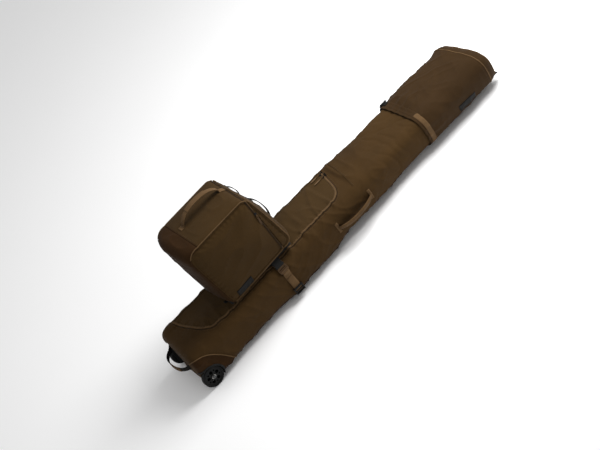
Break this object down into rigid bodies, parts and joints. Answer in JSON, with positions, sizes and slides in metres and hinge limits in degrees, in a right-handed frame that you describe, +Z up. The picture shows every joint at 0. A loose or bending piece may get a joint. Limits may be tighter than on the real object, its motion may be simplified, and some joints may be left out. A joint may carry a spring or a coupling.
{
  "type": "wheeled ski bag",
  "caption": "Long padded roller bag for skis that lengthens at its top end, with a boot backpack strapped on its front.",
  "frame": {"origin": "middle of the length and width of the bag lying on its back, on the ground under it", "axes": "+X from the wheels to the top end, +Y to the bag's left side, +Z up out of its front"},
  "size_m": [2.0146, 0.3738, 0.6757],
  "materials": {
    "bag_fabric": "matt woven olive-brown polyester over foam padding",
    "coated_fabric": "coated dark brown fabric at the places that wear",
    "black_fabric": "black webbing and mesh",
    "webbing": "light brown woven webbing and tape",
    "zip_tape": "dark zip chain on woven tape",
    "black_plastic": "matt moulded plastic",
    "buckle_plastic": "brown moulded acetal",
    "steel": "zinc-plated steel",
    "tyre": "solid urethane tread",
    "label_rubber": "blank dark moulded patch"
  },
  "bodies": {
    "ski_bag": {"base_cap": "coated_fabric", "right_side_panel": "bag_fabric", "left_side_panel": "bag_fabric", "back_panel": "coated_fabric", "front_flap": "bag_fabric", "front_panel": "bag_fabric", "flap_zip": "zip_tape", "back_stiffener": "black_plastic", "inner_straps": "black_fabric", "inner_buckles": "black_plastic", "right_wheel_housing": "black_plastic", "left_wheel_housing": "black_plastic", "axle_pins": "steel", "handle_anchors": "webbing", "front_strap": "webbing", "buckle_socket": "buckle_plastic", "ladder_lock": "black_plastic"},
    "right_wheel": {"right_tyre": "tyre", "right_rim": "black_plastic", "right_bearings": "steel"},
    "left_wheel": {"left_tyre": "tyre", "left_rim": "black_plastic", "left_bearings": "steel"},
    "base_handle": {"base_handle": "webbing"},
    "carry_handle": {"carry_handle": "webbing", "carry_grip": "webbing"},
    "buckle_plug": {"buckle_plug": "buckle_plastic", "side_strap": "webbing"},
    "buckle_arm_a": {"buckle_arm_a": "buckle_plastic"},
    "buckle_arm_b": {"buckle_arm_b": "buckle_plastic"},
    "flap_slider_a": {"flap_slider_a": "black_plastic"},
    "flap_slider_b": {"flap_slider_b": "black_plastic"},
    "flap_pull_a": {"flap_pull_a": "webbing"},
    "flap_pull_b": {"flap_pull_b": "webbing"},
    "upper_section": {"upper_right_panel": "bag_fabric", "upper_left_panel": "bag_fabric", "upper_front_panel": "bag_fabric", "upper_back_panel": "coated_fabric", "upper_cap": "bag_fabric", "upper_strap": "webbing", "upper_buckle": "black_plastic", "upper_label": "label_rubber", "upper_tab": "black_fabric"},
    "boot_pack": {"pack_back_panel": "black_fabric", "pack_right_panel": "bag_fabric", "pack_left_panel": "bag_fabric", "pack_front_panel": "bag_fabric", "pack_base_panel": "coated_fabric", "pack_zip": "zip_tape", "pack_label": "label_rubber", "pack_handle_anchors": "webbing", "shoulder_straps": "black_fabric", "shoulder_webbing": "black_fabric"},
    "pack_lid": {"pack_lid": "bag_fabric", "pack_haul_loop": "black_fabric"},
    "pack_handle": {"pack_handle": "webbing"},
    "pack_slider_a": {"pack_slider_a": "black_plastic"},
    "pack_slider_b": {"pack_slider_b": "black_plastic"},
    "pack_pull_a": {"pack_pull_a": "webbing"},
    "pack_pull_b": {"pack_pull_b": "webbing"}
  },
  "joints": [
    {"name": "right_wheel_spin", "type": "hinge", "parent": "ski_bag", "child": "right_wheel", "pos_m": [-0.9185, -0.13091, 0.054], "axis": [0, 1, 0], "continuous": true},
    {"name": "left_wheel_spin", "type": "hinge", "parent": "ski_bag", "child": "left_wheel", "pos_m": [-0.9185, 0.16309, 0.054], "axis": [0, 1, 0], "continuous": true},
    {"name": "base_handle_swing", "type": "hinge", "parent": "ski_bag", "child": "base_handle", "pos_m": [-0.9631, 0.01609, 0.13921], "axis": [0, 1, 0], "range_deg": [-45, 45]},
    {"name": "carry_handle_lift", "type": "hinge", "parent": "ski_bag", "child": "carry_handle", "pos_m": [0.06683, -0.14891, 0.12136], "axis": [-1, 0, 0.0047], "range_deg": [0, 75]},
    {"name": "buckle_release", "type": "slide", "parent": "ski_bag", "child": "buckle_plug", "axis": [-0.0033, -0.7071, -0.7071], "range_m": [0, 0.045], "deforming": ["side_strap"]},
    {"name": "buckle_squeeze_a", "type": "slide", "parent": "buckle_plug", "child": "buckle_arm_a", "axis": [-1, 0, 0.0047], "range_m": [0, 0.004], "stiffness_N_per_m": 1500},
    {"name": "buckle_squeeze_b", "type": "slide", "parent": "buckle_plug", "child": "buckle_arm_b", "axis": [1, 0, -0.0047], "range_m": [0, 0.004], "stiffness_N_per_m": 1500},
    {"name": "flap_zip_a", "type": "slide", "parent": "ski_bag", "child": "flap_slider_a", "axis": [0, -1, 0], "range_m": [0, 0.16]},
    {"name": "flap_zip_b", "type": "slide", "parent": "ski_bag", "child": "flap_slider_b", "axis": [0, -1, 0], "range_m": [-0.006, 0.012]},
    {"name": "flap_pull_a_lift", "type": "hinge", "parent": "flap_slider_a", "child": "flap_pull_a", "pos_m": [0.10628, 0.08209, 0.21657], "axis": [0, 1, 0], "range_deg": [0, 105]},
    {"name": "flap_pull_b_lift", "type": "hinge", "parent": "flap_slider_b", "child": "flap_pull_b", "pos_m": [0.10628, 0.11309, 0.21657], "axis": [0, 1, 0], "range_deg": [0, 105]},
    {"name": "length_adjust", "type": "slide", "parent": "ski_bag", "child": "upper_section", "axis": [1, 0, -0.0047], "range_m": [-0.17, 0]},
    {"name": "pack_lift_off", "type": "slide", "parent": "ski_bag", "child": "boot_pack", "axis": [0.0047, 0, 1], "range_m": [0, 0.45]},
    {"name": "pack_lid_open", "type": "hinge", "parent": "boot_pack", "child": "pack_lid", "pos_m": [-0.23158, 0.01609, 0.24876], "axis": [0, 1, 0], "range_deg": [0, 75]},
    {"name": "pack_handle_swing", "type": "hinge", "parent": "boot_pack", "child": "pack_handle", "pos_m": [-0.43579, 0.03609, 0.62773], "axis": [1, 0, -0.0047], "range_deg": [-50, 50]},
    {"name": "pack_zip_a", "type": "slide", "parent": "boot_pack", "child": "pack_slider_a", "axis": [-0.0047, 0, -1], "range_m": [-0.09, 0.22]},
    {"name": "pack_zip_b", "type": "slide", "parent": "boot_pack", "child": "pack_slider_b", "axis": [-0.0047, 0, -1], "range_m": [-0.09, 0.22]},
    {"name": "pack_pull_a_swing", "type": "hinge", "parent": "pack_slider_a", "child": "pack_pull_a", "pos_m": [-0.29774, -0.14131, 0.51108], "axis": [-1, 0, 0.0047], "range_deg": [0, 120]},
    {"name": "pack_pull_b_swing", "type": "hinge", "parent": "pack_slider_b", "child": "pack_pull_b", "pos_m": [-0.29774, 0.17349, 0.51108], "axis": [1, 0, -0.0047], "range_deg": [0, 120]}
  ]
}
